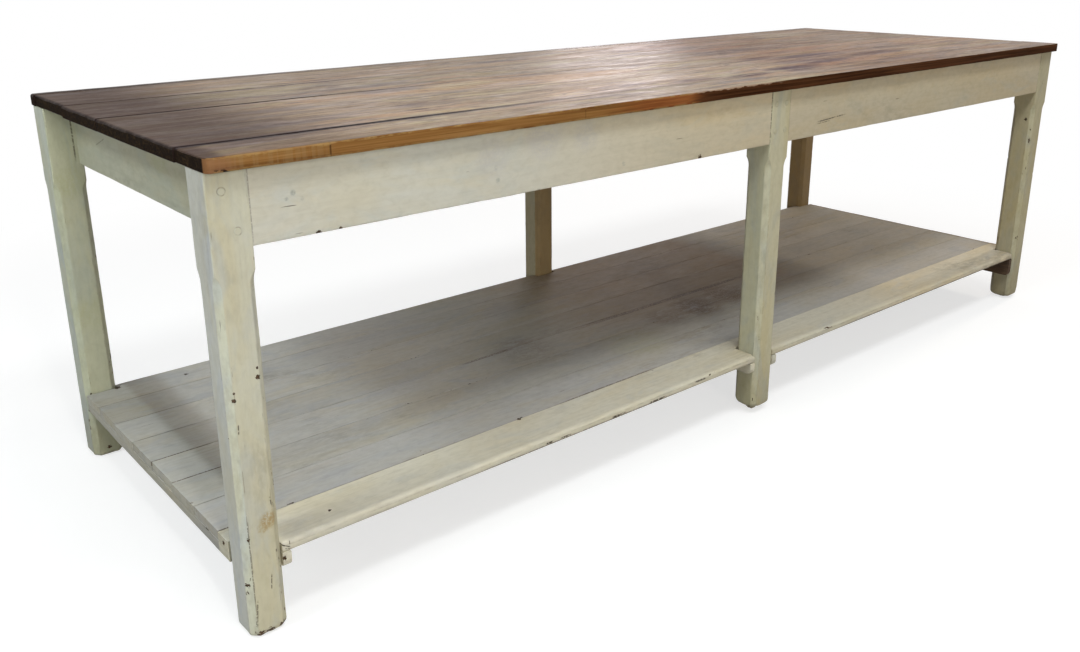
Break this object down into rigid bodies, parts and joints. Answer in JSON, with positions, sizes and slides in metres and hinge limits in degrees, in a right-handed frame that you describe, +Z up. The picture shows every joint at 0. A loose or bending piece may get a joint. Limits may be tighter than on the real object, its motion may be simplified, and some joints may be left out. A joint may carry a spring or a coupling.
{
  "type": "kitchen island",
  "caption": "Long rustic kitchen island: plank top on pegged, stop-chamfered legs with aprons and a slatted pot shelf notched round the legs.",
  "frame": {"origin": "on the floor, under the middle of the table", "axes": "+X along the table's length, -Y towards the front, +Z up"},
  "size_m": [2.794, 0.962, 0.85],
  "materials": {
    "leg_paint": "worn cream paint on wood, satin",
    "apron_paint": "worn cream paint on wood, satin",
    "shelf_paint": "scuffed grey-cream paint on wood, matt",
    "top_wood": "waxed brown hardwood, semi-gloss",
    "bare_wood": "dark unpainted wood, matt",
    "iron": "dark screw heads, dull"
  },
  "bodies": {
    "root": {"leg_front_left": "leg_paint", "leg_front_middle": "leg_paint", "leg_front_right": "leg_paint", "leg_back_left": "leg_paint", "leg_back_middle": "leg_paint", "leg_back_right": "leg_paint", "peg_front_left_1": "leg_paint", "peg_front_left_2": "leg_paint", "peg_front_middle_left_1": "leg_paint", "peg_front_middle_left_2": "leg_paint", "peg_front_middle_right_1": "leg_paint", "peg_front_middle_right_2": "leg_paint", "peg_front_right_1": "leg_paint", "peg_front_right_2": "leg_paint", "peg_back_left_1": "leg_paint", "peg_back_left_2": "leg_paint", "peg_back_middle_left_1": "leg_paint", "peg_back_middle_left_2": "leg_paint", "peg_back_middle_right_1": "leg_paint", "peg_back_middle_right_2": "leg_paint", "peg_back_right_1": "leg_paint", "peg_back_right_2": "leg_paint", "apron_front_left": "apron_paint", "apron_front_right": "apron_paint", "apron_back_left": "apron_paint", "apron_back_right": "apron_paint", "end_rail_left": "apron_paint", "end_rail_right": "apron_paint", "rail_screw_left_front_1": "iron", "rail_screw_left_front_2": "iron", "rail_screw_left_back_1": "iron", "rail_screw_left_back_2": "iron", "rail_screw_right_front_1": "iron", "rail_screw_right_front_2": "iron", "rail_screw_right_back_1": "iron", "rail_screw_right_back_2": "iron", "cross_rail_middle": "bare_wood", "top_plank_front": "top_wood", "top_plank_wide": "top_wood", "top_plank_centre": "top_wood", "top_plank_back": "top_wood", "top_plank_back_strip": "top_wood", "shelf_board_1": "shelf_paint", "shelf_board_2": "shelf_paint", "shelf_board_3": "shelf_paint", "shelf_board_4": "shelf_paint", "shelf_board_5": "shelf_paint", "shelf_board_6": "shelf_paint", "shelf_board_7": "shelf_paint", "shelf_board_8": "shelf_paint", "shelf_bearer_left": "shelf_paint", "shelf_bearer_middle_left": "shelf_paint", "shelf_bearer_middle_right": "shelf_paint", "shelf_bearer_right": "bare_wood", "shelf_end_batten_left": "shelf_paint", "shelf_end_batten_right": "shelf_paint"}
  },
  "joints": []
}
